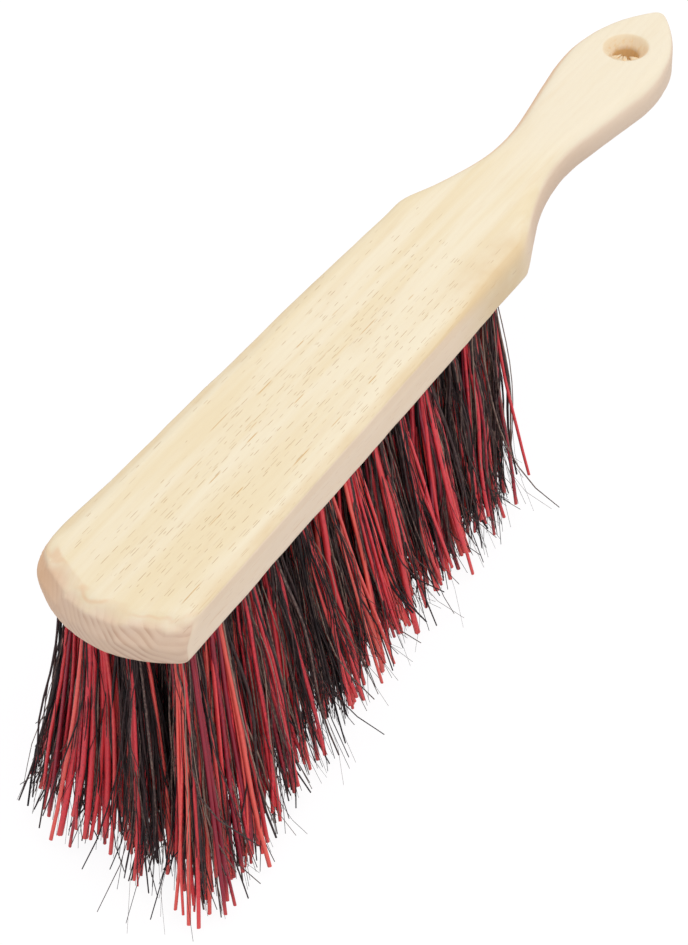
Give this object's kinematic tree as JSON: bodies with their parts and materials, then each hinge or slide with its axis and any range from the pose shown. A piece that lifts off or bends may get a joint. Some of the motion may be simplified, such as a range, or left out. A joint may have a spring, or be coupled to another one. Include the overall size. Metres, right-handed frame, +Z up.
{
  "type": "hand broom",
  "caption": "Hand broom: a one-piece beech block with a waisted handle and a hanging bore, carrying rows of flared tufts of mixed red plastic and dark plant fibre.",
  "frame": {"origin": "on the floor that the trimmed tips stand on, under the middle of the bounding box", "axes": "+X from the nose towards the handle's tip, +Y to the broom's left seen from behind the nose looking along +X, +Z up"},
  "size_m": [0.2988, 0.068, 0.084],
  "materials": {
    "beech": "matte, sanded",
    "wire": "bright drawn wire",
    "red_fibre": "semi-gloss",
    "dark_fibre": "matte"
  },
  "bodies": {
    "root": {"stock": "beech", "anchors": "wire", "tuft_1_01": "red_fibre", "tuft_1_02": "dark_fibre", "tuft_1_03": "red_fibre", "tuft_1_04": "dark_fibre", "tuft_1_05": "red_fibre", "tuft_1_06": "dark_fibre", "tuft_1_07": "red_fibre", "tuft_1_08": "dark_fibre", "tuft_1_09": "red_fibre", "tuft_1_10": "dark_fibre", "tuft_1_11": "red_fibre", "tuft_1_12": "dark_fibre", "tuft_1_13": "red_fibre", "tuft_2_01": "dark_fibre", "tuft_2_02": "red_fibre", "tuft_2_03": "dark_fibre", "tuft_2_04": "red_fibre", "tuft_2_05": "dark_fibre", "tuft_2_06": "red_fibre", "tuft_2_07": "dark_fibre", "tuft_2_08": "red_fibre", "tuft_2_09": "dark_fibre", "tuft_2_10": "red_fibre", "tuft_2_11": "dark_fibre", "tuft_2_12": "red_fibre", "tuft_2_13": "dark_fibre", "tuft_3_01": "red_fibre", "tuft_3_02": "dark_fibre", "tuft_3_03": "red_fibre", "tuft_3_04": "dark_fibre", "tuft_3_05": "red_fibre", "tuft_3_06": "dark_fibre", "tuft_3_07": "red_fibre", "tuft_3_08": "dark_fibre", "tuft_3_09": "red_fibre", "tuft_3_10": "dark_fibre", "tuft_3_11": "red_fibre", "tuft_3_12": "dark_fibre", "tuft_3_13": "red_fibre", "tuft_4_01": "dark_fibre", "tuft_4_02": "red_fibre", "tuft_4_03": "dark_fibre", "tuft_4_04": "red_fibre", "tuft_4_05": "dark_fibre", "tuft_4_06": "red_fibre", "tuft_4_07": "dark_fibre", "tuft_4_08": "red_fibre", "tuft_4_09": "dark_fibre", "tuft_4_10": "red_fibre", "tuft_4_11": "dark_fibre", "tuft_4_12": "red_fibre", "tuft_4_13": "dark_fibre"}
  },
  "joints": []
}
